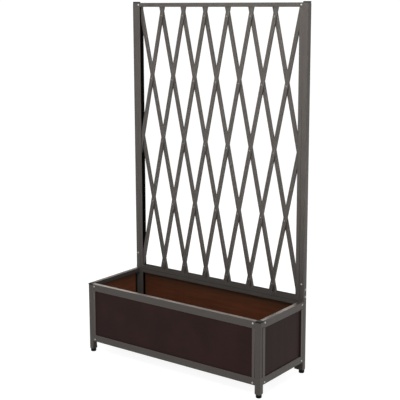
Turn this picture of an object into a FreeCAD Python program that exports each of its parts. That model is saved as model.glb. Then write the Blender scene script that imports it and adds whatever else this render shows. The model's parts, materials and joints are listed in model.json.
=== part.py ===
import FreeCAD, Part
import math
import os
import re
import Sketcher

# A raised planter box on four square legs, with a tall two-layer lattice trellis
# standing on its rear rim. Millimetres, +Z up, +X to the right, the front at -Y,
# and the origin on the floor under the middle of the planter.

SIZES = {
    # The whole planter
    "overall_width": 760.0,
    "overall_depth": 292.0,
    "rim_height": 262.0,
    "post_height": 1283.0,
    # Square legs and posts, and the wall of every steel tube of the box
    "leg_side": 20.0,
    "tube_wall": 1.0,
    "cap_thick": 4.0,
    "plug_long": 12.0,
    "plug_clearance": 0.2,
    # Rails and stiles of the four side frames. A rail is a tube with a lip over the panel's edge
    "rail_side": 15.0,
    "rail_deep": 15.0,
    "rail_lip": 10.0,
    "rail_rise": 42.5,
    "stile_wide": 12.0,
    # Stubs welded to the legs, over which the rails slide
    "stub_long": 18.0,
    "stub_clearance": 0.3,
    # Sheet panels, in slots of the rails and behind the stiles
    "panel_thick": 1.0,
    "panel_recess": 3.0,
    "panel_tongue": 3.0,
    "slot_clearance": 0.2,
    # Floor sheet and the bars that carry it
    "floor_thick": 1.0,
    "floor_bar_side": 15.0,
    "floor_clearance": 0.5,
    "drain_radius": 6.0,
    # Trellis frame, made of channels that are open towards the lattice
    "trellis_rail_tall": 15.0,
    "trellis_stile_wide": 14.0,
    # Lattice bars and the places of their crossings
    "bar_wide": 14.0,
    "bar_thick": 8.0,
    "bar_wall": 1.0,
    "bar_seat": 4.0,
    "top_crossing_drop": 31.5,
    "bottom_crossing_rise": 26.3,
    # Sleeves that join the posts to the rear legs
    "sleeve_below": 60.0,
    "sleeve_above": 80.0,
    "sleeve_clearance": 0.15,
    "front_screw_rise": 61.0,
    "upper_side_screw_rise": 41.0,
    "lower_side_screw_rise": 16.0,
    # Levelling feet and the threaded plugs that hold them
    "foot_height": 12.0,
    "foot_radius": 10.0,
    "foot_chamfer": 1.5,
    "foot_gap": 0.3,
    "stem_radius": 4.0,
    "stem_long": 24.0,
    "stem_clearance": 0.2,
    "insert_long": 22.0,
    # Bolts, screws and rivets
    "bolt_inset": 8.5,
    "bolt_edge": 8.0,
    "bolt_radius": 2.0,
    "bolt_long": 9.0,
    "bolt_head_radius": 3.6,
    "bolt_head_tall": 2.0,
    "bolt_clearance": 0.2,
    "rivet_head_radius": 3.0,
    "rivet_head_tall": 1.4,
    # Every cut runs past the face that it opens by this much
    "cut_overrun": 2.0,
}

# Counts, and places given as shares of the length that they lie along
COLUMNS = 7
ROW_STEPS = 4
SMALL_ROUND_FLATS = 12
HEAD_TOP_SHARE = 0.55
FLOOR_BAR_SHARES = (-0.3, 0.0, 0.3)
DRAIN_LENGTH_SHARES = (-0.406, -0.156, 0.156, 0.406)
DRAIN_WIDTH_SHARES = (-0.28, 0.28)

# The four sides by their turn about Z, and the name of the corner at each end
SHORT_SIDE = {"half": "overall_width / 2", "length": "overall_depth"}
LONG_SIDE = {"half": "overall_depth / 2", "length": "overall_width"}
SIDES = {
    "right": {"turn": 0, "ends": {1: "rear", -1: "front"}, **SHORT_SIDE},
    "rear": {"turn": 90, "ends": {1: "left", -1: "right"}, **LONG_SIDE},
    "left": {"turn": 180, "ends": {1: "front", -1: "rear"}, **SHORT_SIDE},
    "front": {"turn": 270, "ends": {1: "right", -1: "left"}, **LONG_SIDE},
}
# The corner at each turn, the side that its -Y stubs carry and the side of its -X stubs
CORNERS = {
    "rear_right": {"turn": 0, "sides": ("right", "rear")},
    "rear_left": {"turn": 90, "sides": ("rear", "left")},
    "front_left": {"turn": 180, "sides": ("left", "front")},
    "front_right": {"turn": 270, "sides": ("front", "right")},
}

X_AXIS = FreeCAD.Vector(1, 0, 0)
Y_AXIS = FreeCAD.Vector(0, 1, 0)
Z_AXIS = FreeCAD.Vector(0, 0, 1)

doc = FreeCAD.newDocument("PlanterWithTrellis")
sheet = doc.addObject("Spreadsheet::Sheet", "Sizes")
for row, (alias, amount) in enumerate(SIZES.items(), start=1):
    sheet.set(f"A{row}", alias)
    sheet.set(f"B{row}", str(amount))
    sheet.setAlias(f"B{row}", alias)
doc.recompute()

nodes = []


# Sizes, places and names

def tie(item, prop, words):
    """Bind a property to sizes of the sheet, written as plain words."""
    item.setExpression(prop, re.sub(r"\b([a-z]+_[a-z_]+)\b", r"Sizes.\1", words))


def spot(turn, out, along):
    """The X and Y of a place on a side: its distance out from the middle, and along the side."""
    return {
        0: (f"({out})", f"({along})"),
        90: (f"-({along})", f"({out})"),
        180: (f"-({out})", f"-({along})"),
        270: (f"({along})", f"-({out})"),
    }[turn]


def place(item, rotation, x="0", y="0", z="0"):
    """Turn an object and tie its origin to sizes."""
    item.Placement = FreeCAD.Placement(FreeCAD.Vector(), rotation)
    for axis, words in zip("xyz", (x, y, z)):
        tie(item, f"Placement.Base.{axis}", words)


def turn_about_z(angle):
    return FreeCAD.Rotation(Z_AXIS, angle)


def keep(item, label):
    """Name a finished sub-part, which is then written to a file of that name."""
    item.Label = label
    nodes.append(item)
    return item


# Profiles and the operations that most tubes share

def add_rectangle(sketch, wide, tall):
    """A rectangle centred on the sketch's origin, with its two sides tied to sizes."""
    first = sketch.GeometryCount
    corners = [FreeCAD.Vector(a, b, 0) for a, b in ((-1, -1), (1, -1), (1, 1), (-1, 1))]
    for k in range(4):
        sketch.addGeometry(Part.LineSegment(corners[k], corners[(k + 1) % 4]))
    for k in range(4):
        sketch.addConstraint(Sketcher.Constraint("Coincident", first + k, 2, first + (k + 1) % 4, 1))
    for k, way in enumerate(("Horizontal", "Vertical", "Horizontal", "Vertical")):
        sketch.addConstraint(Sketcher.Constraint(way, first + k))
    sketch.addConstraint(Sketcher.Constraint("Symmetric", first, 1, first + 2, 1, -1, 1))
    for edge, way, words in ((first, "DistanceX", wide), (first + 1, "DistanceY", tall)):
        number = sketch.addConstraint(Sketcher.Constraint(way, edge, 1, edge, 2, 2.0))
        tie(sketch, f"Constraints[{number}]", words)


def new_sketch(body, role="XY_Plane"):
    sketch = body.newObject("Sketcher::SketchObject", "Profile")
    plane = next(p for p in body.Origin.OriginFeatures if p.Role == role)
    sketch.AttachmentSupport = (plane, "")
    sketch.MapMode = "FlatFace"
    return sketch


def tube(name, wide, tall, length, wall="tube_wall", centred=False):
    """A straight rectangular tube along the body's Z axis."""
    body = doc.addObject("PartDesign::Body", name)
    sketch = new_sketch(body)
    add_rectangle(sketch, wide, tall)
    add_rectangle(sketch, f"{wide} - 2 * {wall}", f"{tall} - 2 * {wall}")
    pad = body.newObject("PartDesign::Pad", "Tube")
    pad.Profile = sketch
    pad.Midplane = centred
    tie(pad, "Length", length)
    return body


def box_feature(body, kind, size, at):
    """An added or cut block, given by its three sides and its middle."""
    block = body.newObject(f"PartDesign::{kind}Box", "Block")
    middle = []
    for prop, side, centre in zip(("Length", "Width", "Height"), size, at):
        tie(block, prop, side)
        middle.append(f"({centre}) - ({side}) / 2")
    place(block, FreeCAD.Rotation(), *middle)
    return block


def drill(body, radius, depth, rotation, at):
    """A small hole from a point, along the turned Z axis. Small rounds repeat, so they have flats."""
    hole = body.newObject("PartDesign::SubtractivePrism", "Hole")
    hole.Polygon = SMALL_ROUND_FLATS
    tie(hole, "Circumradius", radius)
    tie(hole, "Height", depth)
    place(hole, rotation, *at)
    return hole


ALONG_X = FreeCAD.Rotation(Y_AXIS, 90)
ALONG_Y = FreeCAD.Rotation(X_AXIS, -90)
ALONG_MINUS_Y = FreeCAD.Rotation(X_AXIS, 90)
BOLT_HOLE = "bolt_radius + bolt_clearance"


# The side frames

def rails_of(side):
    """The two rails of a side, each with the way from it to the panel, up or down.

    The rear top rail carries the trellis, so it is as deep as the posts and has no lip.
    """
    rear = side == "rear"
    top = {
        "level": "top",
        "inward": -1,
        "deep": "leg_side" if rear else "rail_deep",
        "lip": not rear,
        "middle": "rim_height - rail_side / 2",
        "bolt": "rim_height - bolt_edge",
    }
    bottom = {
        "level": "bottom",
        "inward": 1,
        "deep": "rail_deep",
        "lip": True,
        "middle": "rail_rise + rail_side / 2",
        "bolt": "rail_rise + bolt_edge",
    }
    return [top, bottom]


def rail_length(side):
    return f"({SIDES[side]['length']} - 2 * leg_side)"


PANEL_LOW = "(rail_rise + rail_side)"
PANEL_HIGH = "(rim_height - rail_side)"
STILE_LOW = f"({PANEL_LOW} + rail_lip)"
SLOT_WIDE = "panel_thick + 2 * slot_clearance"
PANEL_MIDDLE = "panel_recess + panel_thick / 2"
LIP_THICK = "(panel_recess - slot_clearance)"
CHANNEL_GAP = "leg_side - 2 * tube_wall"


def stile_profile(side):
    """The depth and width of a side's stiles, and the height of their upper ends."""
    if side == "rear":
        return "leg_side", "trellis_stile_wide", PANEL_HIGH
    return LIP_THICK, "stile_wide", f"({PANEL_HIGH} - rail_lip)"


def panel_width(side):
    wide = stile_profile(side)[1]
    return f"({rail_length(side)} - 2 * {wide} + 2 * panel_tongue)"


def make_rail(side, rail):
    """A rail between two legs, slotted for the panel and drilled for its two bolts.

    In the rail's own axes X points out of the planter, Y up and Z along.
    """
    facts = SIDES[side]
    length = rail_length(side)
    deep = rail["deep"]
    inward = rail["inward"]
    body = tube("Rail", deep, "rail_side", length, centred=True)
    if rail["lip"]:
        at = (f"{deep} / 2 - {LIP_THICK} / 2", f"{inward} * (rail_side + rail_lip) / 2", "0")
        box_feature(body, "Additive", (LIP_THICK, "rail_lip", length), at)
    slot_middle = f"{inward} * (rail_side / 2 - tube_wall / 2 + cut_overrun / 2)"
    box_feature(
        body,
        "Subtractive",
        (SLOT_WIDE, "tube_wall + cut_overrun", f"{panel_width(side)} + 2 * slot_clearance"),
        (f"{deep} / 2 - ({PANEL_MIDDLE})", slot_middle, "0"),
    )
    for end in (-1, 1):
        at = ("0", f"({rail['bolt']}) - ({rail['middle']})", f"{end} * ({length} / 2 - bolt_inset)")
        drill(body, BOLT_HOLE, deep, ALONG_X, at)
    x, y = spot(facts["turn"], f"{facts['half']} - {deep} / 2", "0")
    place(body, turn_about_z(facts["turn"]) * FreeCAD.Rotation(X_AXIS, 90), x, y, rail["middle"])
    return keep(body, f"{side}_{rail['level']}_rail")


def make_stile(side, end):
    """An upright between the lips of a side's rails, in front of the panel's edge.

    It is a flat bar, but at the rear an open channel like those of the trellis above it.
    """
    facts = SIDES[side]
    deep, wide, high = stile_profile(side)
    tall = f"({high} - {STILE_LOW})"
    if side == "rear":
        body = tube("Stile", deep, wide, tall)
        box_feature(
            body,
            "Subtractive",
            (CHANNEL_GAP, "tube_wall + cut_overrun", f"{tall} + 2 * cut_overrun"),
            ("0", f"{-end} * ({wide} / 2 - tube_wall / 2 + cut_overrun / 2)", f"{tall} / 2"),
        )
    else:
        body = doc.addObject("PartDesign::Body", "Stile")
        box_feature(body, "Additive", (deep, wide, tall), ("0", "0", f"{tall} / 2"))
    along = f"{end} * ({rail_length(side)} / 2 - {wide} / 2)"
    x, y = spot(facts["turn"], f"{facts['half']} - {deep} / 2", along)
    place(body, turn_about_z(facts["turn"]), x, y, STILE_LOW)
    return keep(body, f"{side}_{facts['ends'][end]}_stile")


def make_panel(side):
    """A sheet held by the slots of its rails, with its side edges behind the stiles."""
    facts = SIDES[side]
    wide = panel_width(side)
    panel = doc.addObject("Part::Box", "Panel")
    tie(panel, "Length", "panel_thick")
    tie(panel, "Width", wide)
    tie(panel, "Height", f"{PANEL_HIGH} - {PANEL_LOW} + 2 * panel_tongue")
    out = f"{facts['half']} - panel_recess - panel_thick"
    x, y = spot(facts["turn"], out, f"-{wide} / 2")
    place(panel, turn_about_z(facts["turn"]), x, y, f"{PANEL_LOW} - panel_tongue")
    return keep(panel, f"{side}_panel")


# Legs, posts and what plugs into them

def corner_spot(corner):
    """The X and Y of a leg's axis."""
    facts = CORNERS[corner]
    return spot(facts["turn"], *[f"{SIDES[side]['half']} - leg_side / 2" for side in facts["sides"]])


def add_stub(body, rail, swap):
    """A stub for the end of one rail, drilled for its bolt and clear of the panel's edge.

    The stub runs along -Y, or along -X where swap is set.
    """
    deep = rail["deep"]
    high = "rail_side - cap_thick - panel_tongue - stub_clearance"
    shift = f"{-rail['inward']} * (panel_tongue + stub_clearance - cap_thick) / 2"
    out = f"leg_side / 2 - {deep} / 2"
    size = [f"{deep} - 2 * tube_wall - 2 * stub_clearance", "stub_long + tube_wall"]
    at = [out, "-(leg_side / 2 + stub_long / 2 - tube_wall / 2)"]
    hole = [f"{out} - {deep} / 2", "-(leg_side / 2 + bolt_inset)"]
    if swap:
        size.reverse()
        at.reverse()
        hole.reverse()
    box_feature(body, "Additive", (*size, high), (*at, f"{rail['middle']} + {shift} - foot_height"))
    drill(body, BOLT_HOLE, deep, ALONG_Y if swap else ALONG_X, (*hole, f"{rail['bolt']} - foot_height"))


def make_leg(corner):
    """A square leg with two pairs of stubs, one pair for each side that meets at its corner.

    In the leg's own axes X and Y point out of the planter and Z starts at its foot.
    """
    facts = CORNERS[corner]
    top = "rim_height" if corner.startswith("rear") else "rim_height - cap_thick"
    body = tube("Leg", "leg_side", "leg_side", f"{top} - foot_height")
    for side, swap in zip(facts["sides"], (False, True)):
        for rail in rails_of(side):
            add_stub(body, rail, swap)
    place(body, turn_about_z(facts["turn"]), *corner_spot(corner), "foot_height")
    return keep(body, f"{corner}_leg")


INNER_SIDE = "(leg_side - 2 * tube_wall - 2 * plug_clearance)"
POSTS = {"left": -1, "right": 1}


def screw_holes(body, hand, depth, start):
    """The three screw holes of a post joint: one in its front wall and two in its outer wall.

    start is the height of the rim in the body's own axes.
    """
    drill(body, BOLT_HOLE, depth, ALONG_MINUS_Y, ("0", "0", f"{start} + front_screw_rise"))
    for rise in ("upper_side_screw_rise", "lower_side_screw_rise"):
        outward = FreeCAD.Rotation(Y_AXIS, 90 * hand)
        drill(body, BOLT_HOLE, depth, outward, ("0", "0", f"{start} + {rise}"))


def make_post(name, hand):
    """An upper post, standing on a rear leg and held to it by a sleeve inside both."""
    body = tube("Post", "leg_side", "leg_side", "post_height - rim_height")
    screw_holes(body, hand, "leg_side", "0")
    x = f"{hand} * (overall_width / 2 - leg_side / 2)"
    place(body, FreeCAD.Rotation(), x, "overall_depth / 2 - leg_side / 2", "rim_height")
    return keep(body, f"{name}_post")


def make_sleeves():
    """The two inner tubes that carry the posts, half in the rear legs and half in the posts."""
    side = "(leg_side - 2 * tube_wall - 2 * sleeve_clearance)"
    sleeves = []
    for name, hand in POSTS.items():
        body = tube("Sleeve", side, side, "sleeve_below + sleeve_above")
        screw_holes(body, hand, "leg_side", "sleeve_below")
        x = f"{hand} * (overall_width / 2 - leg_side / 2)"
        place(body, FreeCAD.Rotation(), x, "overall_depth / 2 - leg_side / 2", "rim_height - sleeve_below")
        sleeves.append(body)
    return keep(group(sleeves), "post_sleeves")


def group(items):
    """Several separate solids that share one node."""
    together = doc.addObject("Part::Compound", "Group")
    together.Links = items
    return together


def make_caps(label, y, z):
    """A pair of plastic caps, each a square lid with a plug that fills the tube's mouth."""
    caps = []
    for hand in POSTS.values():
        body = doc.addObject("PartDesign::Body", "Cap")
        lid = new_sketch(body)
        add_rectangle(lid, "leg_side", "leg_side")
        pad = body.newObject("PartDesign::Pad", "Lid")
        pad.Profile = lid
        tie(pad, "Length", "cap_thick")
        box_feature(body, "Additive", (INNER_SIDE, INNER_SIDE, "plug_long"), ("0", "0", "-plug_long / 2"))
        place(body, FreeCAD.Rotation(), f"{hand} * (overall_width / 2 - leg_side / 2)", y, z)
        caps.append(body)
    return keep(group(caps), label)


# The levelling feet

def make_inserts():
    """Threaded plugs in the lower ends of the four legs, one for each foot."""
    plugs = []
    for corner in CORNERS:
        body = doc.addObject("PartDesign::Body", "Insert")
        sketch = new_sketch(body)
        add_rectangle(sketch, INNER_SIDE, INNER_SIDE)
        pad = body.newObject("PartDesign::Pad", "Plug")
        pad.Profile = sketch
        tie(pad, "Length", "insert_long")
        bore = body.newObject("PartDesign::SubtractiveCylinder", "Bore")
        tie(bore, "Radius", "stem_radius + stem_clearance")
        tie(bore, "Height", "insert_long")
        place(body, FreeCAD.Rotation(), *corner_spot(corner), "foot_height")
        plugs.append(body)
    return keep(group(plugs), "leg_inserts")


def make_foot(corner):
    """A round foot pad with a chamfered lower edge, on a threaded stem."""
    body = doc.addObject("PartDesign::Body", "Foot")
    base = body.newObject("PartDesign::AdditiveCylinder", "Pad")
    tie(base, "Radius", "foot_radius")
    tie(base, "Height", "foot_height - foot_gap")
    stem = body.newObject("PartDesign::AdditiveCylinder", "Stem")
    tie(stem, "Radius", "stem_radius")
    tie(stem, "Height", "stem_long")
    place(stem, FreeCAD.Rotation(), z="foot_height - foot_gap")
    doc.recompute()
    heights = [edge.BoundBox.ZMax for edge in stem.Shape.Edges]
    edge = body.newObject("PartDesign::Chamfer", "LowerEdge")
    edge.Base = (stem, [f"Edge{heights.index(min(heights)) + 1}"])
    tie(edge, "Size", "foot_chamfer")
    place(body, FreeCAD.Rotation(), *corner_spot(corner), "0")
    return keep(body, f"{corner}_foot")


# The floor of the planter

FLOOR_EDGE = "(panel_recess + panel_thick + floor_clearance)"


def make_floor_bars():
    """Cross bars between the front and rear bottom rails, level with their upper faces."""
    bars = []
    for share in FLOOR_BAR_SHARES:
        long = "overall_depth - 2 * rail_deep"
        body = tube("FloorBar", "floor_bar_side", "floor_bar_side", long, centred=True)
        x = f"{share} * overall_width"
        place(body, FreeCAD.Rotation(X_AXIS, 90), x, "0", f"{PANEL_LOW} - floor_bar_side / 2")
        bars.append(body)
    return keep(group(bars), "floor_bars")


def make_floor():
    """The floor sheet, on the bars and bottom rails: notched round the legs, with drain holes."""
    body = doc.addObject("PartDesign::Body", "Floor")
    sketch = new_sketch(body)
    wide = f"(overall_width - 2 * {FLOOR_EDGE})"
    deep = f"(overall_depth - 2 * {FLOOR_EDGE})"
    add_rectangle(sketch, wide, deep)
    pad = body.newObject("PartDesign::Pad", "Sheet")
    pad.Profile = sketch
    tie(pad, "Length", "floor_thick")
    notch = f"(2 * (leg_side + floor_clearance - {FLOOR_EDGE}))"
    for a in (-1, 1):
        for b in (-1, 1):
            at = (f"{a} * {wide} / 2", f"{b} * {deep} / 2", "floor_thick / 2")
            box_feature(body, "Subtractive", (notch, notch, "floor_thick + 2 * cut_overrun"), at)
    for a in DRAIN_LENGTH_SHARES:
        for b in DRAIN_WIDTH_SHARES:
            at = (f"{a} * {wide}", f"{b} * {deep}", "-cut_overrun")
            drill(body, "drain_radius", "floor_thick + 2 * cut_overrun", FreeCAD.Rotation(), at)
    place(body, FreeCAD.Rotation(), "0", "0", PANEL_LOW)
    return keep(body, "floor_panel")


# The trellis: a frame between the posts, and two layers of slanted bars

POST_MIDDLE_Y = "(overall_depth / 2 - leg_side / 2)"
OPENING_HALF = "(overall_width / 2 - leg_side - trellis_stile_wide)"
OPENING_LOW = "(rim_height + trellis_rail_tall)"
OPENING_HIGH = "(post_height - trellis_rail_tall)"
TOP_CROSSING = f"({OPENING_HIGH} - top_crossing_drop)"
ROW_RISE = f"(({TOP_CROSSING} - {OPENING_LOW} - bottom_crossing_rise) / {ROW_STEPS})"
COLUMN = f"(2 * {OPENING_HALF} / {COLUMNS})"
LEAN = f"atan({COLUMN} / (2 * {ROW_RISE}))"


def make_trellis_rail(level, middle):
    """A channel from post to post, open towards the lattice."""
    body = tube("TrellisRail", "leg_side", "trellis_rail_tall", "overall_width - 2 * leg_side", centred=True)
    inward = "-" if level == "top" else ""
    box_feature(
        body,
        "Subtractive",
        (CHANNEL_GAP, "tube_wall + cut_overrun", "overall_width"),
        ("0", f"{inward}(trellis_rail_tall / 2 - tube_wall / 2 + cut_overrun / 2)", "0"),
    )
    if level == "top":
        for end in (-1, 1):
            at = ("0", "0", f"{end} * (overall_width / 2 - leg_side - trellis_stile_wide / 2)")
            drill(body, BOLT_HOLE, "leg_side", FreeCAD.Rotation(Y_AXIS, -90), at)
    place(body, turn_about_z(90) * FreeCAD.Rotation(X_AXIS, 90), "0", POST_MIDDLE_Y, middle)
    return keep(body, f"trellis_{level}_rail")


def make_trellis_stile(name, hand):
    """A channel against a post, open towards the lattice."""
    tall = f"({OPENING_HIGH} - {OPENING_LOW})"
    body = tube("TrellisStile", "trellis_stile_wide", "leg_side", tall)
    box_feature(
        body,
        "Subtractive",
        ("tube_wall + cut_overrun", CHANNEL_GAP, f"{tall} + 2 * cut_overrun"),
        (f"{-hand} * (trellis_stile_wide / 2 - tube_wall / 2 + cut_overrun / 2)", "0", f"{tall} / 2"),
    )
    x = f"{hand} * ({OPENING_HALF} + trellis_stile_wide / 2)"
    place(body, FreeCAD.Rotation(), x, POST_MIDDLE_Y, OPENING_LOW)
    return keep(body, f"trellis_{name}_stile")


def make_opening():
    """The space inside the trellis frame that trims the ends of every bar.

    The bars stand on the web of the bottom channel and reach a little into the other three.
    """
    half = f"({OPENING_HALF} + bar_seat)"
    low = "(rim_height + tube_wall)"
    space = doc.addObject("Part::Box", "TrellisOpening")
    tie(space, "Length", f"2 * {half}")
    tie(space, "Width", "leg_side")
    tie(space, "Height", f"{OPENING_HIGH} + bar_seat - {low}")
    place(space, FreeCAD.Rotation(), f"-{half}", f"{POST_MIDDLE_Y} - leg_side / 2", low)
    return space


def make_bar(layer, number, opening):
    """A slanted bar, cut off a little inside the channels of the frame.

    Bar number n of the front layer rises to the right and crosses the top row of rivets at
    column n. The rear layer is its mirror image, behind it.
    """
    hand = 1 if layer == "front" else -1
    body = tube("Bar", "bar_wide", "bar_thick", "post_height", wall="bar_wall", centred=True)
    middle_drop = ROW_STEPS / 2
    x = f"{hand} * ({number} * {COLUMN} - {OPENING_HALF} - {middle_drop} * {COLUMN} / 2)"
    y = f"{POST_MIDDLE_Y} - {hand} * bar_thick / 2"
    place(body, FreeCAD.Rotation(Y_AXIS, 1), x, y, f"{TOP_CROSSING} - {middle_drop} * {ROW_RISE}")
    tie(body, "Placement.Rotation.Angle", f"{hand} * {LEAN}")
    bar = doc.addObject("Part::Common", "TrimmedBar")
    bar.Base = body
    bar.Tool = opening
    return keep(bar, f"lattice_{layer}_bar_{number}")


# Fasteners

def size(name):
    return float(getattr(sheet, name))


def ring(radius, height):
    """A closed outline of flats round the Z axis."""
    angles = [2 * math.pi * k / SMALL_ROUND_FLATS for k in range(SMALL_ROUND_FLATS + 1)]
    points = [FreeCAD.Vector(radius * math.cos(a), radius * math.sin(a), height) for a in angles]
    return Part.makePolygon(points)


def fastener(point, way, head_radius, head_tall, shank_long=0.0):
    """A head that narrows upwards, seated on a face at a point, and its shank behind the face."""
    shape = Part.makeLoft([ring(head_radius, 0), ring(head_radius * HEAD_TOP_SHARE, head_tall)], True, True)
    if shank_long:
        shank = Part.Face(ring(size("bolt_radius"), 0)).extrude(FreeCAD.Vector(0, 0, -shank_long))
        shape = shape.fuse(shank)
    shape.Placement = FreeCAD.Placement(point, FreeCAD.Rotation(Z_AXIS, way))
    return shape


def make_fasteners(label, seats, head_radius, head_tall, shank_long=0.0):
    """One node of like fasteners, one at each seat: a point on a face and the way out of it."""
    item = doc.addObject("Part::Feature", "Fasteners")
    item.Shape = Part.makeCompound([fastener(*seat, head_radius, head_tall, shank_long) for seat in seats])
    item.Placement = FreeCAD.Placement()
    return keep(item, label)


def frame_bolt_seats():
    """Two bolts at each end of every side, one in each rail."""
    halves = {"overall_width / 2": size("overall_width") / 2, "overall_depth / 2": size("overall_depth") / 2}
    seats = []
    for facts in SIDES.values():
        length = size(facts["length"]) - 2 * size("leg_side")
        turned = turn_about_z(facts["turn"])
        for z in (size("rim_height") - size("bolt_edge"), size("rail_rise") + size("bolt_edge")):
            for end in facts["ends"]:
                local = FreeCAD.Vector(halves[facts["half"]], end * (length / 2 - size("bolt_inset")), z)
                seats.append((turned.multVec(local), turned.multVec(X_AXIS)))
    return seats


def post_screw_seats():
    """On each post one screw in front and two outside, and one at each top corner of the trellis."""
    front = size("overall_depth") / 2 - size("leg_side")
    middle = size("overall_depth") / 2 - size("leg_side") / 2
    rim = size("rim_height")
    top = size("post_height") - size("trellis_rail_tall") / 2
    seats = []
    for hand in POSTS.values():
        outer = size("overall_width") / 2
        corner = outer - size("leg_side") - size("trellis_stile_wide") / 2
        post = outer - size("leg_side") / 2
        seats.append((FreeCAD.Vector(hand * post, front, rim + size("front_screw_rise")), -Y_AXIS))
        seats.append((FreeCAD.Vector(hand * corner, front, top), -Y_AXIS))
        for rise in ("upper_side_screw_rise", "lower_side_screw_rise"):
            seats.append((FreeCAD.Vector(hand * outer, middle, rim + size(rise)), X_AXIS * hand))
    return seats


def rivet_seats():
    """One rivet on the front bar at every crossing inside the frame."""
    half = size("overall_width") / 2 - size("leg_side") - size("trellis_stile_wide")
    column = 2 * half / COLUMNS
    high = size("post_height") - size("trellis_rail_tall") - size("top_crossing_drop")
    low = size("rim_height") + size("trellis_rail_tall") + size("bottom_crossing_rise")
    face = size("overall_depth") / 2 - size("leg_side") / 2 - size("bar_thick")
    seats = []
    for row in range(ROW_STEPS + 1):
        shift = (row % 2) / 2
        for number in range(1, COLUMNS + row % 2):
            x = (number - shift) * column - half
            z = high - row * (high - low) / ROW_STEPS
            seats.append((FreeCAD.Vector(x, face, z), -Y_AXIS))
    return seats


# The whole planter

def build():
    for corner in CORNERS:
        make_leg(corner)
        make_foot(corner)
    make_inserts()
    for side in SIDES:
        for rail in rails_of(side):
            make_rail(side, rail)
        for end in SIDES[side]["ends"]:
            make_stile(side, end)
        make_panel(side)
    make_floor_bars()
    make_floor()
    for name, hand in POSTS.items():
        make_post(name, hand)
        make_trellis_stile(name, hand)
    make_sleeves()
    make_caps("leg_caps", "-(overall_depth / 2 - leg_side / 2)", "rim_height - cap_thick")
    make_caps("post_caps", POST_MIDDLE_Y, "post_height")
    make_trellis_rail("top", f"{OPENING_HIGH} + trellis_rail_tall / 2")
    make_trellis_rail("bottom", "rim_height + trellis_rail_tall / 2")
    opening = make_opening()
    for layer in ("front", "rear"):
        for number in range(1, COLUMNS + ROW_STEPS // 2):
            make_bar(layer, number, opening)
    bolt_head = (size("bolt_head_radius"), size("bolt_head_tall"))
    make_fasteners("frame_bolts", frame_bolt_seats(), *bolt_head, size("bolt_long"))
    make_fasteners("post_screws", post_screw_seats(), *bolt_head, size("bolt_long"))
    make_fasteners("lattice_rivets", rivet_seats(), size("rivet_head_radius"), size("rivet_head_tall"))


def check_and_write():
    """Stop on anything that failed to build, then write one file for each sub-part."""
    doc.recompute()
    for item in doc.Objects:
        if "Invalid" in item.State or "Error" in item.State:
            raise RuntimeError(f"{item.Label} ({item.Name}) failed: {item.State}")
    for item in nodes:
        if item.Shape.isNull() or not item.Shape.isValid():
            raise RuntimeError(f"{item.Label} has no valid shape")
    os.makedirs("parts", exist_ok=True)
    for item in nodes:
        item.Shape.exportStep(f"parts/{item.Label}.step")
    print(f"{len(nodes)} sub-parts written")


build()
check_and_write()
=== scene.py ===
import bmesh
import bpy
import json
import math
from mathutils import Matrix, Vector


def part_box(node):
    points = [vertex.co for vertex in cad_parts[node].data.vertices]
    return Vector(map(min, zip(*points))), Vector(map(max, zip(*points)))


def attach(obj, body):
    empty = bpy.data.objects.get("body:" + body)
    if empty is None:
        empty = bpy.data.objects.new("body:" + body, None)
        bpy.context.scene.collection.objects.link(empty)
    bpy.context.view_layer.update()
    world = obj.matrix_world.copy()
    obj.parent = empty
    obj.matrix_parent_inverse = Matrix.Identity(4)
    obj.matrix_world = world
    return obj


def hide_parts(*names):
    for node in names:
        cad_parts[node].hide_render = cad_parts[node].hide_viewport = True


# The looks of a raised planter box with a lattice trellis: powder-coated steel tubes, brown
# painted panels, black plastic feet and caps, and plated steel fasteners. Metres.

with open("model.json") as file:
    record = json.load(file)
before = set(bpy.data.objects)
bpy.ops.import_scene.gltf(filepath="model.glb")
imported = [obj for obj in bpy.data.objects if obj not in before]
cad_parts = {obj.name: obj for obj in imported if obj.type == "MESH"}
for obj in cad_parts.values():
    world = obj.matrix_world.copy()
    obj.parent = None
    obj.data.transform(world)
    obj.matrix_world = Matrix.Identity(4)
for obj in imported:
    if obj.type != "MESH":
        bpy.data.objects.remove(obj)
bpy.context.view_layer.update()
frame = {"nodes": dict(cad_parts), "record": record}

PLANTER = "planter"
CORNERS = ("front_left", "front_right", "rear_left", "rear_right")
REAR_STILES = ("rear_left_stile", "rear_right_stile")
# Each flat stile, and the leg that it stands beside
FLAT_STILES = {
    "front_left_stile": "front_left_leg",
    "front_right_stile": "front_right_leg",
    "left_front_stile": "front_left_leg",
    "left_rear_stile": "rear_left_leg",
    "right_front_stile": "front_right_leg",
    "right_rear_stile": "rear_right_leg",
}


def middle_of(*node_names):
    """The middle of the box round some CAD nodes."""
    boxes = [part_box(name) for name in node_names]
    low = Vector(map(min, *[box[0] for box in boxes]))
    high = Vector(map(max, *[box[1] for box in boxes]))
    return (low + high) / 2


# Places and levels on the CAD part
BOX_CENTRE = middle_of("left_panel", "right_panel")
TRELLIS_CENTRE = middle_of("trellis_left_stile", "trellis_right_stile")
REAR_FRAME_CENTRE = middle_of(*REAR_STILES)
BOX_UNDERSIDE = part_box("rear_bottom_rail")[0].z
RIM_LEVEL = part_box("rear_panel")[1].z
TRELLIS_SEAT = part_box("rear_top_rail")[1].z
SIDE_WALL_MARGIN = 0.001
SIDE_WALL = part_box("right_panel")[0].x - SIDE_WALL_MARGIN
SIDE_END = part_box("left_rear_stile")[0].y

# Values from 0 to 1, and the middle range that most of a noise lies in
UNIT = (0.0, 1.0)
NOISE_RANGE = (0.3, 0.7)

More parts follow.
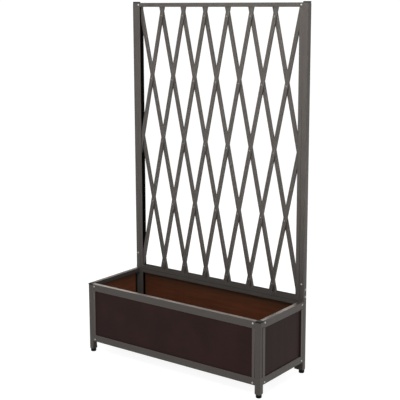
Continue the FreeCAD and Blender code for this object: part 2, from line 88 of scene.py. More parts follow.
# Powder coat. Colours are linear; gloss is how strongly a surface mirrors; a noise is how many
# patches go to a metre, its detail and its roughness; a bump is its depth and its strength.
COAT_DARK = (0.0375, 0.0335, 0.0303, 1)
COAT_LIGHT = (0.0480, 0.0428, 0.0388, 1)
STILE_DARK = (0.0430, 0.0385, 0.0350, 1)
STILE_LIGHT = (0.0555, 0.0495, 0.0450, 1)
# Painted highlight: a lighter coat for the rounded edges, where light catches them
EDGE_HIGHLIGHT_DARK = (0.060, 0.051, 0.046, 1)
EDGE_HIGHLIGHT_LIGHT = (0.095, 0.082, 0.075, 1)
# Near black: painted shade in channels, on faces that look into the box and at the side walls' ends; and
# dirt along a joint
PAINTED_SHADE_AND_JOINT_DIRT = (0.004, 0.0035, 0.003, 1)
# Painted shade under the box, on the faces of the legs and the rear stiles' lower ends that look towards
# the box's middle
UNDER_BOX_SHADE = (0.0285, 0.0250, 0.0222, 1)
# Painted shade on the left top rail's inner face, which looks into the box
INNER_RAIL_SHADE = (0.0270, 0.0240, 0.0235, 1)
COAT_TINT = (1.0, 0.88, 0.80, 1)
COAT_GLOSS = 0.22
DULL_GLOSS = 0.05
# Gloss where shade is painted or dirt lies
SHADE_AND_DIRT_GLOSS = 0.03
COAT_PEEL = (620.0, 3.0, 0.55)
COAT_SPECK = (1500.0, 1.0, 0.5)
COAT_CLOUD = (11.0, 4.0, 0.6)
COAT_STREAK = (1.0, 3.0, 0.5)
COAT_STREAK_STRETCH = (60, 60, 4)
COAT_PEEL_BUMP = (0.00008, 0.6)
COAT_SPECK_BUMP = (0.00003, 0.4)
COAT_ROUGH = (0.34, 0.42)
COAT_STREAK_ROUGH = (0.0, 0.08)
HALF_MIX = (0.0, 0.5)
STREAK_RANGE = (0.4, 0.75)
FACING_RANGE = (-0.001, 0.001)
JOINT_HALF = 0.0004

# Panel paint
PANEL_DARK = (0.0126, 0.0053, 0.0047, 1)
PANEL_LIGHT = (0.0196, 0.0081, 0.0071, 1)
PANEL_STREAK_COLOUR = (0.012, 0.008, 0.007, 1)
PRIMER_DARK = (0.049, 0.0170, 0.0074, 1)
PRIMER_LIGHT = (0.081, 0.0250, 0.0122, 1)
# Painted shadow: the primer darkens towards the rim, within this depth below it
PRIMER_RIM_SHADOW = (0.0245, 0.0150, 0.0078, 1)
PRIMER_SHADOW_DEPTH = 0.055
PRIMER_SHADOW_MIX = (0.0, 0.8)
PANEL_GLOSS = 0.06
PANEL_PEEL = (480.0, 3.0, 0.55)
PANEL_CLOUD = (7.0, 5.0, 0.6)
PANEL_WAVE = (5.0, 1.0, 0.5)
PANEL_STREAK = (1.0, 4.0, 0.6)
PANEL_STREAK_STRETCH = (45, 45, 3)
PANEL_STREAK_RANGE = (0.35, 0.75)
PANEL_STREAK_MIX = (0.0, 0.12)
PRIMER_BRUSH = (1.0, 5.0, 0.65)
PRIMER_BRUSH_STRETCH = (5, 5, 80)
PANEL_WAVE_BUMP = (0.002, 0.25)
PANEL_PEEL_BUMP = (0.00006, 0.5)
PANEL_ROUGH = (0.40, 0.48)
PANEL_STREAK_ROUGH = (0.0, 0.06)

# Plastic
PLASTIC_DARK = (0.003, 0.003, 0.003, 1)
PLASTIC_LIGHT = (0.006, 0.006, 0.006, 1)
PLASTIC_GLOSS = 0.06
PLASTIC_GRAIN = (1800.0, 2.0, 0.5)
PLASTIC_CLOUD = (60.0, 3.0, 0.5)
PLASTIC_BUMP = (0.00005, 0.5)
PLASTIC_ROUGH = (0.48, 0.62)

# Plated steel
ZINC_DARK = (0.26, 0.255, 0.25, 1)
ZINC_LIGHT = (0.38, 0.375, 0.36, 1)
RIVET_DARK = (0.135, 0.132, 0.127, 1)
RIVET_LIGHT = (0.20, 0.196, 0.19, 1)
STEEL_CLOUD = (260.0, 4.0, 0.6)
STEEL_GRAIN = (2200.0, 2.0, 0.5)
STEEL_BUMP = (0.00002, 0.4)
STEEL_ROUGH = (0.24, 0.38)

# Studio floor
FLOOR_HALF = 60
FLOOR_DARK = (0.19, 0.19, 0.19, 1)
FLOOR_LIGHT = (0.21, 0.21, 0.21, 1)
FLOOR_GLOW = 0.90
FLOOR_GLOW_COLOUR = (1, 1, 1, 1)
FLOOR_GLOSS = 0.1
FLOOR_CLOUD = (1.5, 4.0, 0.5)
FLOOR_GRAIN = (700.0, 2.0, 0.5)
FLOOR_BUMP = (0.00005, 0.2)
FLOOR_ROUGH = (0.7, 0.8)

# Studio light: a white dome that is paler at the horizon, and softboxes, each with its place, its
# target, its width and height, its power in watts, the angle that its grid lets light out by and
# its tint
NEUTRAL = (1, 1, 1)
WARM = (1, 0.86, 0.75)
COOL = (0.93, 0.97, 1)
DOME_COLOUR = (1, 1, 1, 1)
DOME_RANGE = (0.35, 0.8)
DOME_LIGHT = (1.05, 0.30)
SOFTBOXES = (
    ("front_softbox", (0.7, -1.6, 2.2), (0, 0.1, 0.9), 1.2, 0.8, 33, 180, NEUTRAL),
    ("side_softbox", (2.2, -0.6, 1.8), (0.3, 0, 0.6), 1.0, 1.0, 4, 180, NEUTRAL),
    ("trellis_softbox", (0.7, -2.3, 1.8), (0.1, 0.13, 1.15), 1.0, 0.8, 6.5, 44, COOL),
    ("back_softbox", (-2.3, 2.9, 1.7), (0, 0, 0.3), 2.4, 0.9, 14, 120, WARM),
    ("box_softbox", (2.2, 0, 1.6), (-0.38, 0, 0.22), 0.3, 0.3, 0.36, 16, NEUTRAL),
)

# Rounded edges of the CAD pieces
MERGE_DISTANCE = 0.00001
EDGE_WEIGHT = "bevel_weight_edge"
LONG_EDGE = 0.1
SHARP_EDGE = math.radians(35)
LONG_EDGE_STEPS = 4
SHORT_EDGE_STEPS = 2
LEG_ROUND = 0.003
BAR_ROUND = 0.0012
SHEET_ROUND = 0.00045
CAP_ROUND = 0.0007

# Stiles: the radius of the flat ones' edges, the width of the joint beside the leg, how far the side
# ones stand out, and the thickness of the flange in the joint and of the rear channels
STILE_ROUND = 0.001
FRONT_JOINT = 0.0016
SIDE_JOINT = 0.004
SIDE_PROUD = 0.0022
JOINT_BACK = 0.0008
CHANNEL_WALL = 0.001

# Bolt heads, with shares of the head's radius
BOLT_RIM = 0.0004
BOLT_DOME = 0.0019
SOCKET_TOP = 0.0021
SOCKET_FOOT = 0.0009
SOCKET_CENTRE = 0.0008
SOCKET_EDGE_SHARE = 0.45
SOCKET_TOP_SHARE = 0.42
SOCKET_FOOT_SHARE = 0.38
BOLT_STEPS = 24

# Rivet heads, with shares of the head's radius
RIVET_RIM = 0.0002
RIVET_DOME = 0.0012
DIMPLE_TOP = 0.0012
DIMPLE_CENTRE = 0.0010
DIMPLE_EDGE_SHARE = 0.35
DIMPLE_TOP_SHARE = 0.3
RIVET_STEPS = 20

# Feet: the pad's rounded edges as (inset from its rim, height) points and its collar as (radius,
# height) points, and the rings of the stem's thread
PAD_LOWER_EDGE = ((0.0025, 0), (0.0012, 0.0003), (0.0003, 0.0012), (0, 0.0025))
PAD_UPPER_EDGE = ((0, 0.0085), (0.0003, 0.0098), (0.0012, 0.0108), (0.0028, 0.0113))
PAD_TALL = 0.0117
PAD_COLLAR = ((0.0062, 0.0114), (0.0058, PAD_TALL))
PAD_STEPS = 48
STEM_RADIUS = 0.004
THREAD_PITCH = 0.00125
THREAD_DEPTH = 0.0007
THREAD_START = 0.0001
STEM_STEPS = 24

# Reading the CAD meshes: digits of a point's place, and the share of a head's reach that is its rim
PLACE_DIGITS = 6
RIM_SHARE = 0.999

# The photograph's camera
IMAGE_SIDE = 400
SENSOR_MM = 36.0
FOCAL_PIXELS = 954.2
CAMERA_PLACE = Vector((2.0056, -2.6210, 1.2673))
CAMERA_AZIMUTH = math.radians(36.129)
CAMERA_PITCH = math.radians(9.584)
CAMERA_SHIFT_X = -0.0373
CAMERA_SHIFT_Y = -0.0794
CLIP_NEAR = 0.01
CLIP_FAR = 200


# Shader nodes

# The places of the colour sockets on a mix node, which has one pair for each kind of value
MIX_FIRST = 6
MIX_SECOND = 7
MIX_RESULT = 2


def add_node(tree, kind, values=None, links=None, **settings):
    """Add a node, set its values, and feed its inputs from other nodes' outputs."""
    made = tree.nodes.new(kind)
    for key, value in settings.items():
        setattr(made, key, value)
    for key, value in (values or {}).items():
        made.inputs[key].default_value = value
    for key, source in (links or {}).items():
        tree.links.new(source, made.inputs[key])
    return made


def new_material(name):
    """An empty material: its node tree and the output that a surface goes to."""
    made = bpy.data.materials.new(name)
    made.use_nodes = True
    made.node_tree.nodes.clear()
    output = made.node_tree.nodes.new("ShaderNodeOutputMaterial")
    return made, made.node_tree, output.inputs["Surface"]


def object_place(tree, stretch=None):
    """A point's place on the object, stretched along the axes where that is asked for."""
    coordinates = tree.nodes.new("ShaderNodeTexCoord").outputs["Object"]
    if stretch is None:
        return coordinates
    mapping = add_node(tree, "ShaderNodeMapping", {"Scale": stretch}, {"Vector": coordinates})
    return mapping.outputs["Vector"]


def coordinates_of(tree, place):
    """The three coordinates of a place."""
    return add_node(tree, "ShaderNodeSeparateXYZ", None, {"Vector": place}).outputs


def noise(tree, place, pattern):
    """Cloudy noise from 0 to 1, from its patches to a metre, its detail and its roughness."""
    per_metre, detail, roughness = pattern
    values = {"Scale": per_metre, "Detail": detail, "Roughness": roughness}
    return add_node(tree, "ShaderNodeTexNoise", values, {"Vector": place}).outputs["Fac"]


def spread(tree, value, from_range, to_range=UNIT):
    """A value's range stretched over another one, and cut off at its ends."""
    values = {
        "From Min": from_range[0],
        "From Max": from_range[1],
        "To Min": to_range[0],
        "To Max": to_range[1],
    }
    return add_node(tree, "ShaderNodeMapRange", values, {"Value": value}).outputs["Result"]


def mix_colours(tree, factor, first, second):
    """Two colours, each a fixed one or another node's output, mixed by a factor."""
    made = tree.nodes.new("ShaderNodeMix")
    made.data_type = "RGBA"
    tree.links.new(factor, made.inputs["Factor"])
    for socket, colour in ((made.inputs[MIX_FIRST], first), (made.inputs[MIX_SECOND], second)):
        if isinstance(colour, tuple):
            socket.default_value = colour
        else:
            tree.links.new(colour, socket)
    return made.outputs[MIX_RESULT]


def arithmetic(tree, operation, *values):
    """One step of arithmetic on values that are each a number or another node's output."""
    made = tree.nodes.new("ShaderNodeMath")
    made.operation = operation
    for socket, value in zip(made.inputs, values):
        if isinstance(value, (int, float)):
            socket.default_value = value
        else:
            tree.links.new(value, socket)
    return made.outputs["Value"]


def bump(tree, height, depth_and_strength, below=None):
    """A bumped normal, on top of the one below it."""
    depth, strength = depth_and_strength
    links = {"Height": height}
    if below is not None:
        links["Normal"] = below
    values = {"Distance": depth, "Strength": strength}
    return add_node(tree, "ShaderNodeBump", values, links).outputs["Normal"]


def surface(tree, output, colour, rough, normal, values, more_links=None):
    """The surface shader that ends a material."""
    links = {"Base Color": colour, "Roughness": rough, "Normal": normal, **(more_links or {})}
    shader = add_node(tree, "ShaderNodeBsdfPrincipled", values, links)
    tree.links.new(shader.outputs["BSDF"], output)


# Materials

def looks_towards(tree, place, centre):
    """1 on faces that look towards a point and 0 on those that look away from it."""
    normal = tree.nodes.new("ShaderNodeNewGeometry").outputs["True Normal"]
    way = add_node(tree, "ShaderNodeVectorMath", {0: centre}, {1: place}, operation="SUBTRACT")
    links = {0: normal, 1: way.outputs["Vector"]}
    dot = add_node(tree, "ShaderNodeVectorMath", None, links, operation="DOT_PRODUCT")
    return spread(tree, dot.outputs["Value"], FACING_RANGE)


def shade_and_dirt_places(tree, place, hollow_centre, below, joint_level):
    """1 where shade is painted or dirt lies, and 0 elsewhere; None for a coat that is even.

    Dirt lies along a joint at a level. Shade is painted on faces that look towards a hollow's
    centre, everywhere or only below a level.
    """
    if joint_level is not None:
        level = coordinates_of(tree, place)["Z"]
        return arithmetic(tree, "COMPARE", level, joint_level, JOINT_HALF)
    if hollow_centre is None:
        return None
    inner = looks_towards(tree, place, hollow_centre)
    if below is None:
        return inner
    is_low = arithmetic(tree, "LESS_THAN", coordinates_of(tree, place)["Z"], below)
    return arithmetic(tree, "MULTIPLY", inner, is_low)


def powder_coat(
    name,
    dark,
    light,
    hollow_centre=None,
    below=None,
    joint_level=None,
    shade_or_dirt_colour=PAINTED_SHADE_AND_JOINT_DIRT,
    gloss=COAT_GLOSS,
):
    """Baked powder paint: fine orange peel, faint cloudiness, and dull streaks where rain has run, with
    painted shade on faces that look towards a hollow's centre and dirt along a joint.
    """
    made, tree, output = new_material(name)
    place = object_place(tree)
    peel = noise(tree, place, COAT_PEEL)
    speck = noise(tree, place, COAT_SPECK)
    cloud = noise(tree, place, COAT_CLOUD)
    streak = noise(tree, object_place(tree, COAT_STREAK_STRETCH), COAT_STREAK)
    fine = spread(tree, speck, NOISE_RANGE, HALF_MIX)
    broad = spread(tree, cloud, NOISE_RANGE, HALF_MIX)
    colour = mix_colours(tree, arithmetic(tree, "ADD", fine, broad), dark, light)
    cloud_rough = spread(tree, cloud, NOISE_RANGE, COAT_ROUGH)
    streak_rough = spread(tree, streak, STREAK_RANGE, COAT_STREAK_ROUGH)
    rough = arithmetic(tree, "ADD", cloud_rough, streak_rough)
    normal = bump(tree, peel, COAT_PEEL_BUMP)
    normal = bump(tree, speck, COAT_SPECK_BUMP, normal)
    values = {"Specular IOR Level": gloss, "Specular Tint": COAT_TINT}
    more_links = {}
    # Painted shade on faces that look towards a hollow's centre, or dirt along a joint, mixed in with less
    # gloss
    shade_or_dirt = shade_and_dirt_places(tree, place, hollow_centre, below, joint_level)
    if shade_or_dirt is not None:
        colour = mix_colours(tree, shade_or_dirt, colour, shade_or_dirt_colour)
        more_links["Specular IOR Level"] = spread(tree, shade_or_dirt, UNIT, (gloss, SHADE_AND_DIRT_GLOSS))
    surface(tree, output, colour, rough, normal, values, more_links)
    return made


def panel_paint():
    """Dark satin paint outside and brown primer inside.

    The primer is brushed on. A painted shadow darkens it under the rim, and painted shade makes it
    near black at the ends of the side walls, beside the legs.
    """
    made, tree, output = new_material("panel_paint")
    place = object_place(tree)
    inside = looks_towards(tree, place, BOX_CENTRE)
    peel = noise(tree, place, PANEL_PEEL)
    cloud = noise(tree, place, PANEL_CLOUD)
    wave = noise(tree, place, PANEL_WAVE)
    streak = noise(tree, object_place(tree, PANEL_STREAK_STRETCH), PANEL_STREAK)
    brush = noise(tree, object_place(tree, PRIMER_BRUSH_STRETCH), PRIMER_BRUSH)
    outside = mix_colours(tree, spread(tree, cloud, NOISE_RANGE), PANEL_DARK, PANEL_LIGHT)
    primer = mix_colours(tree, spread(tree, brush, NOISE_RANGE), PRIMER_DARK, PRIMER_LIGHT)
    colour = mix_colours(tree, inside, outside, primer)
    across, along, level = coordinates_of(tree, place)
    # Painted shadow under the rim
    near_rim = spread(tree, level, (RIM_LEVEL - PRIMER_SHADOW_DEPTH, RIM_LEVEL), PRIMER_SHADOW_MIX)
    rim_shadow = arithmetic(tree, "MULTIPLY", near_rim, inside)
    colour = mix_colours(tree, rim_shadow, colour, PRIMER_RIM_SHADOW)
    # Painted shade: near black at the ends of the side walls' inner faces, beside the legs
    on_side = arithmetic(tree, "GREATER_THAN", arithmetic(tree, "ABSOLUTE", across), SIDE_WALL)
    at_end = arithmetic(tree, "GREATER_THAN", arithmetic(tree, "ABSOLUTE", along), SIDE_END)
    end_shade = arithmetic(tree, "MULTIPLY", arithmetic(tree, "MULTIPLY", on_side, at_end), inside)
    colour = mix_colours(tree, end_shade, colour, PAINTED_SHADE_AND_JOINT_DIRT)
    streaked = spread(tree, streak, PANEL_STREAK_RANGE, PANEL_STREAK_MIX)
    colour = mix_colours(tree, streaked, colour, PANEL_STREAK_COLOUR)
    cloud_rough = spread(tree, cloud, NOISE_RANGE, PANEL_ROUGH)
    streak_rough = spread(tree, streak, STREAK_RANGE, PANEL_STREAK_ROUGH)
    rough = arithmetic(tree, "ADD", cloud_rough, streak_rough)
    normal = bump(tree, wave, PANEL_WAVE_BUMP)
    normal = bump(tree, peel, PANEL_PEEL_BUMP, normal)
    surface(tree, output, colour, rough, normal, {"Specular IOR Level": PANEL_GLOSS})
    return made


def moulded_plastic():
    """Matt black plastic with the fine grain of its mould."""
    made, tree, output = new_material("moulded_plastic")
    place = object_place(tree)
    grain = noise(tree, place, PLASTIC_GRAIN)
    cloud = noise(tree, place, PLASTIC_CLOUD)
    colour = mix_colours(tree, spread(tree, cloud, NOISE_RANGE), PLASTIC_DARK, PLASTIC_LIGHT)
    rough = spread(tree, grain, NOISE_RANGE, PLASTIC_ROUGH)
    normal = bump(tree, grain, PLASTIC_BUMP)
    surface(tree, output, colour, rough, normal, {"Specular IOR Level": PLASTIC_GLOSS})
    return made


def plated_steel(name, dark, light):
    """Plated steel, a little cloudy."""
    made, tree, output = new_material(name)
    place = object_place(tree)
    cloud = noise(tree, place, STEEL_CLOUD)
    grain = noise(tree, place, STEEL_GRAIN)
    colour = mix_colours(tree, spread(tree, cloud, NOISE_RANGE), dark, light)
    rough = spread(tree, cloud, NOISE_RANGE, STEEL_ROUGH)
    normal = bump(tree, grain, STEEL_BUMP)
    surface(tree, output, colour, rough, normal, {"Metallic": 1.0})
    return made


def studio_floor():
    """A pale matt floor that glows, as a light table does, so shadows on it stay faint."""
    made, tree, output = new_material("studio_floor")
    place = object_place(tree)
    cloud = noise(tree, place, FLOOR_CLOUD)
    grain = noise(tree, place, FLOOR_GRAIN)
    colour = mix_colours(tree, spread(tree, cloud, NOISE_RANGE), FLOOR_DARK, FLOOR_LIGHT)
    rough = spread(tree, grain, NOISE_RANGE, FLOOR_ROUGH)
    normal = bump(tree, grain, FLOOR_BUMP)
    values = {
        "Specular IOR Level": FLOOR_GLOSS,
        "Emission Color": FLOOR_GLOW_COLOUR,
        "Emission Strength": FLOOR_GLOW,
    }
    surface(tree, output, colour, rough, normal, values)
    return made


# The CAD pieces that stay: rounded edges and their finish

def smoothing_group():
    """Modifier nodes that join a CAD mesh along its edges, mark its long outer ones and shade it smooth."""
    group = bpy.data.node_groups.new("join_and_smooth", "GeometryNodeTree")
    group.interface.new_socket("Geometry", in_out="INPUT", socket_type="NodeSocketGeometry")
    group.interface.new_socket("Geometry", in_out="OUTPUT", socket_type="NodeSocketGeometry")
    start = group.nodes.new("NodeGroupInput")
    join = add_node(
        group,
        "GeometryNodeMergeByDistance",
        {"Distance": MERGE_DISTANCE},
        {"Geometry": start.outputs[0]},
    )
    ends = group.nodes.new("GeometryNodeInputMeshEdgeVertices")
    span = add_node(
        group,
        "ShaderNodeVectorMath",
        links={0: ends.outputs["Position 1"], 1: ends.outputs["Position 2"]},
        operation="DISTANCE",
    )
    angle = group.nodes.new("GeometryNodeInputMeshEdgeAngle")
    is_long = arithmetic(group, "GREATER_THAN", span.outputs["Value"], LONG_EDGE)
    is_outer = arithmetic(group, "GREATER_THAN", angle.outputs["Signed Angle"], SHARP_EDGE)
    mark = add_node(
        group,
        "GeometryNodeStoreNamedAttribute",
        {"Name": EDGE_WEIGHT},
        {"Geometry": join.outputs[0], "Value": arithmetic(group, "MULTIPLY", is_long, is_outer)},
        data_type="FLOAT",
        domain="EDGE",
    )
    smooth = add_node(group, "GeometryNodeSetShadeSmooth", None, {"Geometry": mark.outputs[0]})
    add_node(group, "NodeGroupOutput", None, {0: smooth.outputs[0]})
    return group


def dress(node_name, materials, smoothing, round_off=0.0, long_edges=False):
    """Round the edges of a CAD node, or only its long outer ones, and give it its finish.

    The last of the materials goes on the rounded edges; where that is the lighter edge coat, it is a
    painted highlight.
    """
    item = frame["nodes"][node_name]
    item.data.materials.clear()
    for made in materials:
        item.data.materials.append(made)
    join = item.modifiers.new("join", "NODES")
    join.node_group = smoothing
    if round_off:
        edge = item.modifiers.new("rounded_edges", "BEVEL")
        edge.width = round_off
        edge.segments = LONG_EDGE_STEPS if long_edges else SHORT_EDGE_STEPS
        edge.limit_method = "WEIGHT" if long_edges else "ANGLE"
        edge.angle_limit = SHARP_EDGE
        edge.use_clamp_overlap = not long_edges
        edge.material = len(materials) - 1
    even = item.modifiers.new("even_shading", "WEIGHTED_NORMAL")
    even.keep_sharp = False


# Making new pieces

def new_piece(name, mesh, materials, body, replaced=()):
    """Make an object of a bmesh, and let it ride on a body in the place of CAD nodes."""
    data = bpy.data.meshes.new(name)
    bmesh.ops.recalc_face_normals(mesh, faces=mesh.faces)
    mesh.to_mesh(data)
    mesh.free()
    for made in materials:
        data.materials.append(made)
    item = bpy.data.objects.new(name, data)
    bpy.context.scene.collection.objects.link(item)
    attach(item, body)
    if replaced:
        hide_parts(*replaced)


def lathe(mesh, outline, turn, steps):
    """Turn an outline of (radius, height) points about the Z axis of a matrix."""
    angles = [2 * math.pi * k / steps for k in range(steps)]
    rings = []
    for radius, height in outline:
        if radius == 0:
            ring = [Vector((0, 0, height))]
        else:
            ring = [Vector((radius * math.cos(a), radius * math.sin(a), height)) for a in angles]
        rings.append([mesh.verts.new(turn @ point) for point in ring])
    for lower, upper in zip(rings, rings[1:]):
        for k in range(steps):
            corners = [lower[k % len(lower)], lower[(k + 1) % len(lower)]]
            corners += [upper[(k + 1) % len(upper)], upper[k % len(upper)]]
            corners = list(dict.fromkeys(corners))
            if len(corners) > 2:
                mesh.faces.new(corners).smooth = True


def dome(radius, height, steps=6):
    """The outline of a low dome, from its rim to its top."""
    angles = [math.pi / 2 * k / steps for k in range(steps)]
    return [(radius * math.cos(a), height * math.sin(a)) for a in angles] + [(0, height)]


def prism(mesh, outline, low, high):
    """Fill an outline of (x, y) points from one level to another; gives the faces round it."""
    rings = [[mesh.verts.new((x, y, z)) for x, y in outline] for z in (low, high)]
    for ring in rings:
        mesh.faces.new(ring)
    around = zip(rings[0], rings[0][1:] + rings[0][:1], rings[1][1:] + rings[1][:1], rings[1])
    return [mesh.faces.new(corners) for corners in around]


def rounded_outline(low, high, radius, steps=3):
    """The outline of a rectangle with rounded corners, as (x, y) points."""
    centres = [
        (high.x - radius, high.y - radius),
        (low.x + radius, high.y - radius),
        (low.x + radius, low.y + radius),
        (high.x - radius, low.y + radius),
    ]
    points = []
    for turn, (x, y) in enumerate(centres):
        for k in range(steps + 1):
            angle = math.pi / 2 * (turn + k / steps)
            points.append((x + radius * math.cos(angle), y + radius * math.sin(angle)))
    return points


# Fasteners

def islands(node_name):
    """The points of each separate solid in a CAD node."""
    mesh = frame["nodes"][node_name].data
    spots = {}
    for vertex in mesh.vertices:
        spots[vertex.index] = tuple(round(c, PLACE_DIGITS) for c in vertex.co)
    joined = {key: key for key in spots.values()}

    def root(key):
        while joined[key] != key:
            key = joined[key]
        return key

    for face in mesh.polygons:
        first = root(spots[face.vertices[0]])
        for index in face.vertices[1:]:
            joined[root(spots[index])] = first
    found = {}
    for key in sorted(joined):
        found.setdefault(root(key), []).append(Vector(key))
    return list(found.values())


def seat_of(points):
    """Where a bolt's head sits, which way it points and its radius, from the points of its CAD solid.

    The bolt lies along the axis across which it is as wide as it is tall.
    """
    low = Vector(map(min, *points))
    high = Vector(map(max, *points))
    size = high - low
    middle = (low + high) / 2
    sides = [size[(k + 1) % 3] - size[(k + 2) % 3] for k in range(3)]
    along = min(range(3), key=lambda k: abs(sides[k]))

    def reach(point):
        """How far a point is from the bolt's axis."""
        out = point - middle
        out[along] = 0
        return out.length

    widest = max(reach(p) for p in points)
    seat = next(p[along] for p in points if reach(p) > widest * RIM_SHARE)
    way = Vector((0, 0, 0))
    way[along] = 1.0 if high[along] - seat < seat - low[along] or seat == low[along] else -1.0
    place = middle.copy()
    place[along] = seat
    return place, way, widest


def facing(place, way):
    """A matrix that sets a piece's own Z axis along a way at a place."""
    return Matrix.Translation(place) @ way.to_track_quat("Z", "Y").to_matrix().to_4x4()


def make_bolt_heads(name, node_name, material):
    """Button heads with a round socket, one on each bolt of a node."""
    mesh = bmesh.new()
    for points in islands(node_name):
        place, way, radius = seat_of(points)
        edge = radius * SOCKET_EDGE_SHARE
        head = [(0, 0), (radius, 0), (radius, BOLT_RIM)]
        head += [(r, BOLT_RIM + z) for r, z in dome(radius, BOLT_DOME) if r > edge]
        head += [
            (radius * SOCKET_TOP_SHARE, SOCKET_TOP),
            (radius * SOCKET_FOOT_SHARE, SOCKET_FOOT),
            (0, SOCKET_CENTRE),
        ]
        lathe(mesh, head, facing(place, way), BOLT_STEPS)
    new_piece(name, mesh, [material], PLANTER, [node_name])


def make_rivets(material):
    """Domed blind rivets with a dimple where the pin broke off, on the front of the lattice."""
    mesh = bmesh.new()
    for points in islands("lattice_rivets"):
        low = Vector(map(min, *points))
        high = Vector(map(max, *points))
        radius = (high.x - low.x) / 2
        seat = Vector(((low.x + high.x) / 2, high.y, (low.z + high.z) / 2))
        edge = radius * DIMPLE_EDGE_SHARE
        head = [(0, 0), (radius, 0)]
        head += [(r, RIVET_RIM + z) for r, z in dome(radius, RIVET_DOME) if r > edge]
        head += [(radius * DIMPLE_TOP_SHARE, DIMPLE_TOP), (0, DIMPLE_CENTRE)]
        lathe(mesh, head, facing(seat, Vector((0, -1, 0))), RIVET_STEPS)
    new_piece("rivet_heads", mesh, [material], PLANTER, ["lattice_rivets"])


# Feet

def make_foot(corner, plastic, steel):
    """A levelling foot: a turned plastic pad with a collar, on a steel stem with rings for its thread."""
    node_name = f"{corner}_foot"
    body = f"{corner}_foot_body"
    low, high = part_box(node_name)
    centre = Vector(((low.x + high.x) / 2, (low.y + high.y) / 2, low.z))
    radius = (high.x - low.x) / 2
    pad = bmesh.new()
    rim = [(radius - inset, height) for inset, height in PAD_LOWER_EDGE + PAD_UPPER_EDGE]
    outline = [(0, 0), *rim, *PAD_COLLAR, (0, PAD_TALL)]
    lathe(pad, outline, Matrix.Translation(centre), PAD_STEPS)
    new_piece(f"{corner}_foot_pad", pad, [plastic], body, [node_name])
    stem = bmesh.new()
    start = centre + Vector((0, 0, PAD_TALL))
    turns = int((high.z - low.z - PAD_TALL) / THREAD_PITCH)
    root_radius = STEM_RADIUS - THREAD_DEPTH
    thread = [(0, 0)]
    for k in range(turns):
        thread.append((root_radius, THREAD_PITCH * k + THREAD_START))
        thread.append((STEM_RADIUS, THREAD_PITCH * (k + 0.5)))
    thread.append((root_radius, THREAD_PITCH * turns))
    thread.append((0, THREAD_PITCH * turns))
    lathe(stem, thread, Matrix.Translation(start), STEM_STEPS)
    new_piece(f"{corner}_foot_stem", stem, [steel], body)


# Stiles

def make_flat_stile(node_name, leg, coat, edges):
    """A flat bar with rounded edges, and the slim flange by which it meets its leg, in a narrow joint.

    The side stiles stand further from their legs than the front ones, and further out.
    """
    low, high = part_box(node_name)
    leg_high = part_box(leg)[1]
    on_front = high.x - low.x > high.y - low.y
    across = 0 if on_front else 1
    through = 1 - across
    joint = FRONT_JOINT if on_front else SIDE_JOINT
    widen = 0 if on_front else SIDE_JOINT
    proud = 0 if on_front else SIDE_PROUD
    back_low = low.copy()
    back_high = high.copy()
    if leg_high[across] < low[across] + joint:
        low[across] += joint
        high[across] += widen
        back_high[across] = low[across] + STILE_ROUND
    else:
        low[across] -= widen
        high[across] -= joint
        back_low[across] = high[across] - STILE_ROUND
    if low[through] + high[through] > 0:
        back_high[through] = low[through] + JOINT_BACK
        high[through] += proud
    else:
        back_low[through] = high[through] - JOINT_BACK
        low[through] -= proud
    flange = [
        (back_low.x, back_low.y),
        (back_high.x, back_low.y),
        (back_high.x, back_high.y),
        (back_low.x, back_high.y),
    ]
    mesh = bmesh.new()
    prism(mesh, flange, low.z, high.z)
    around = prism(mesh, rounded_outline(low, high, STILE_ROUND), low.z, high.z)
    # The rounded corners take the edge coat, a painted highlight
    for face in around:
        if face.calc_area() < STILE_ROUND * (high.z - low.z):
            face.material_index = 1
            face.smooth = True
    new_piece(f"{node_name}_bar", mesh, [coat, edges], PLANTER, [node_name])


def make_stile_ends(material):
    """The lower ends of the rear stiles: channels that go on below the bottom rail, as far as the legs, in
    the legs' coat with its painted shade under the box.
    """
    leg_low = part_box("rear_left_leg")[0].z
    for node_name in REAR_STILES:
        low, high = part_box(node_name)
        web = high.x if high.x > 0 else low.x
        tip = low.x if high.x > 0 else high.x
        inner = web + math.copysign(CHANNEL_WALL, tip - web)
        front = low.y + CHANNEL_WALL
        back = high.y - CHANNEL_WALL
        outline = [
            (tip, low.y),
            (web, low.y),
            (web, high.y),
            (tip, high.y),
            (tip, back),
            (inner, back),
            (inner, front),
            (tip, front),
        ]
        mesh = bmesh.new()
        prism(mesh, outline, leg_low, BOX_UNDERSIDE)
        new_piece(f"{node_name}_end", mesh, [material], PLANTER)


# Stage, lights and camera

def make_floor(material):
    """The studio's floor, wide enough to fill every view."""
    mesh = bmesh.new()
    bmesh.ops.create_grid(mesh, x_segments=1, y_segments=1, size=FLOOR_HALF)
    data = bpy.data.meshes.new("studio_floor")
    mesh.to_mesh(data)
    mesh.free()
    data.materials.append(material)
    floor = bpy.data.objects.new("studio_floor", data)
    bpy.context.scene.collection.objects.link(floor)


def add_softbox(name, place, target, width, height, watts, grid_angle, tint):
    """A flat lamp at a place that looks at a target."""
    data = bpy.data.lights.new(name, "AREA")
    data.shape = "RECTANGLE"
    data.size = width
    data.size_y = height
    data.energy = watts
    data.spread = math.radians(grid_angle)
    data.color = tint
    item = bpy.data.objects.new(name, data)
    bpy.context.scene.collection.objects.link(item)
    item.location = place
    item.rotation_euler = (Vector(target) - Vector(place)).to_track_quat("-Z", "Y").to_euler()


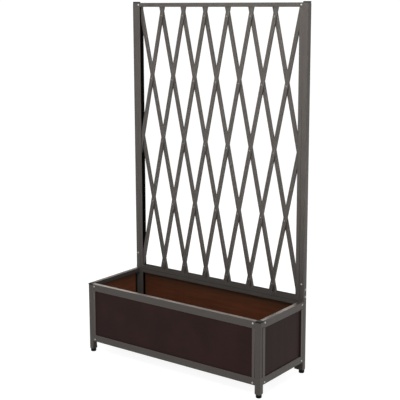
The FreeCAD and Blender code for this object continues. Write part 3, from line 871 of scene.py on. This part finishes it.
def light_studio():
    """The dome and the softboxes, and plain display colours."""
    world = bpy.data.worlds.new("studio")
    bpy.context.scene.world = world
    world.use_nodes = True
    tree = world.node_tree
    background = tree.nodes["Background"].inputs
    direction = tree.nodes.new("ShaderNodeTexCoord").outputs["Generated"]
    height = coordinates_of(tree, direction)["Z"]
    tree.links.new(spread(tree, height, DOME_RANGE, DOME_LIGHT), background["Strength"])
    background["Color"].default_value = DOME_COLOUR
    for softbox in SOFTBOXES:
        add_softbox(*softbox)
    bpy.context.scene.view_settings.view_transform = "Standard"


def place_camera():
    """The camera where the photographer stood."""
    data = bpy.data.cameras.new("photo_camera")
    data.sensor_width = SENSOR_MM
    data.lens = FOCAL_PIXELS / IMAGE_SIDE * SENSOR_MM
    data.shift_x = CAMERA_SHIFT_X
    data.shift_y = CAMERA_SHIFT_Y
    data.clip_start = CLIP_NEAR
    data.clip_end = CLIP_FAR
    item = bpy.data.objects.new("photo_camera", data)
    bpy.context.scene.collection.objects.link(item)
    flat = math.cos(CAMERA_PITCH)
    look = Vector(
        (-math.sin(CAMERA_AZIMUTH) * flat, math.cos(CAMERA_AZIMUTH) * flat, -math.sin(CAMERA_PITCH))
    )
    item.location = CAMERA_PLACE
    item.rotation_euler = look.to_track_quat("-Z", "Y").to_euler()
    bpy.context.scene.camera = item


def make_coats():
    """The powder coats of the frame's pieces."""
    plain = (COAT_DARK, COAT_LIGHT)
    return {
        "plain": powder_coat("powder_coat", *plain),
        # The edge coat: a painted highlight on rounded edges
        "edges": powder_coat("powder_coat_painted_highlight", EDGE_HIGHLIGHT_DARK, EDGE_HIGHLIGHT_LIGHT),
        # Trellis pieces: near-black painted shade on faces that look into the trellis, such as the insides
        # of the stiles' channels
        "trellis": powder_coat("trellis_channel_coat_painted_shade", *plain, TRELLIS_CENTRE),
        # Rear stiles: near-black painted shade inside their channels
        "rear": powder_coat("rear_channel_coat_painted_shade", *plain, REAR_FRAME_CENTRE),
        "seat": powder_coat("trellis_seat_coat", *plain, joint_level=TRELLIS_SEAT),
        # Legs: painted shade below the box's underside, on faces that look towards the box's middle
        "leg": powder_coat("leg_coat_painted_shade", *plain, BOX_CENTRE, below=BOX_UNDERSIDE, shade_or_dirt_colour=UNDER_BOX_SHADE),
        # Left top rail: duller gloss, and painted shade on its inner face
        "left_rail": powder_coat(
            "left_rail_coat_painted_shade", *plain, BOX_CENTRE, shade_or_dirt_colour=INNER_RAIL_SHADE, gloss=DULL_GLOSS
        ),
        # Flat stiles: near-black painted shade on faces that look into the box
        "stile": powder_coat("stile_coat_painted_shade", STILE_DARK, STILE_LIGHT, BOX_CENTRE),
    }


def finish_frame_piece(node_name, coats, smoothing):
    """Give a piece of the frame its coat and rounded edges, or put a new bar in a flat stile's place."""
    if node_name.endswith("_leg"):
        dress(node_name, [coats["leg"]], smoothing, LEG_ROUND, long_edges=True)
    elif node_name.endswith("_post"):
        dress(node_name, [coats["plain"]], smoothing, LEG_ROUND, long_edges=True)
    elif "_bar_" in node_name:
        dress(node_name, [coats["plain"], coats["edges"]], smoothing, BAR_ROUND, long_edges=True)
    elif node_name == "left_top_rail":
        dress(node_name, [coats["left_rail"]], smoothing, SHEET_ROUND)
    elif node_name in ("rear_top_rail", "trellis_bottom_rail"):
        dress(node_name, [coats["seat"]], smoothing, SHEET_ROUND)
    elif node_name.startswith("trellis_"):
        dress(node_name, [coats["trellis"]], smoothing, SHEET_ROUND)
    elif node_name in REAR_STILES:
        dress(node_name, [coats["rear"]], smoothing, SHEET_ROUND)
    elif node_name in FLAT_STILES:
        make_flat_stile(node_name, FLAT_STILES[node_name], coats["stile"], coats["edges"])
    else:
        dress(node_name, [coats["plain"], coats["edges"]], smoothing, SHEET_ROUND)


def build():
    """Dress the CAD pieces, add the new ones, and set the studio up round them."""
    coats = make_coats()
    paint = panel_paint()
    plastic = moulded_plastic()
    steel = plated_steel("zinc_steel", ZINC_DARK, ZINC_LIGHT)
    smoothing = smoothing_group()
    for row in frame["record"]["subparts"]:
        node_name = row["node"]
        slot = row["material_slot"]
        if slot == "frame":
            finish_frame_piece(node_name, coats, smoothing)
        elif slot == "panel":
            dress(node_name, [paint], smoothing)
        elif slot == "foot" and not node_name.endswith("_foot"):
            dress(node_name, [plastic], smoothing, CAP_ROUND)
    make_bolt_heads("rail_bolt_heads", "frame_bolts", steel)
    make_bolt_heads("post_screw_heads", "post_screws", steel)
    make_rivets(plated_steel("rivet_steel", RIVET_DARK, RIVET_LIGHT))
    # In the legs' coat, with its painted shade under the box
    make_stile_ends(coats["leg"])
    for corner in CORNERS:
        make_foot(corner, plastic, steel)
    make_floor(studio_floor())
    light_studio()
    place_camera()


build()
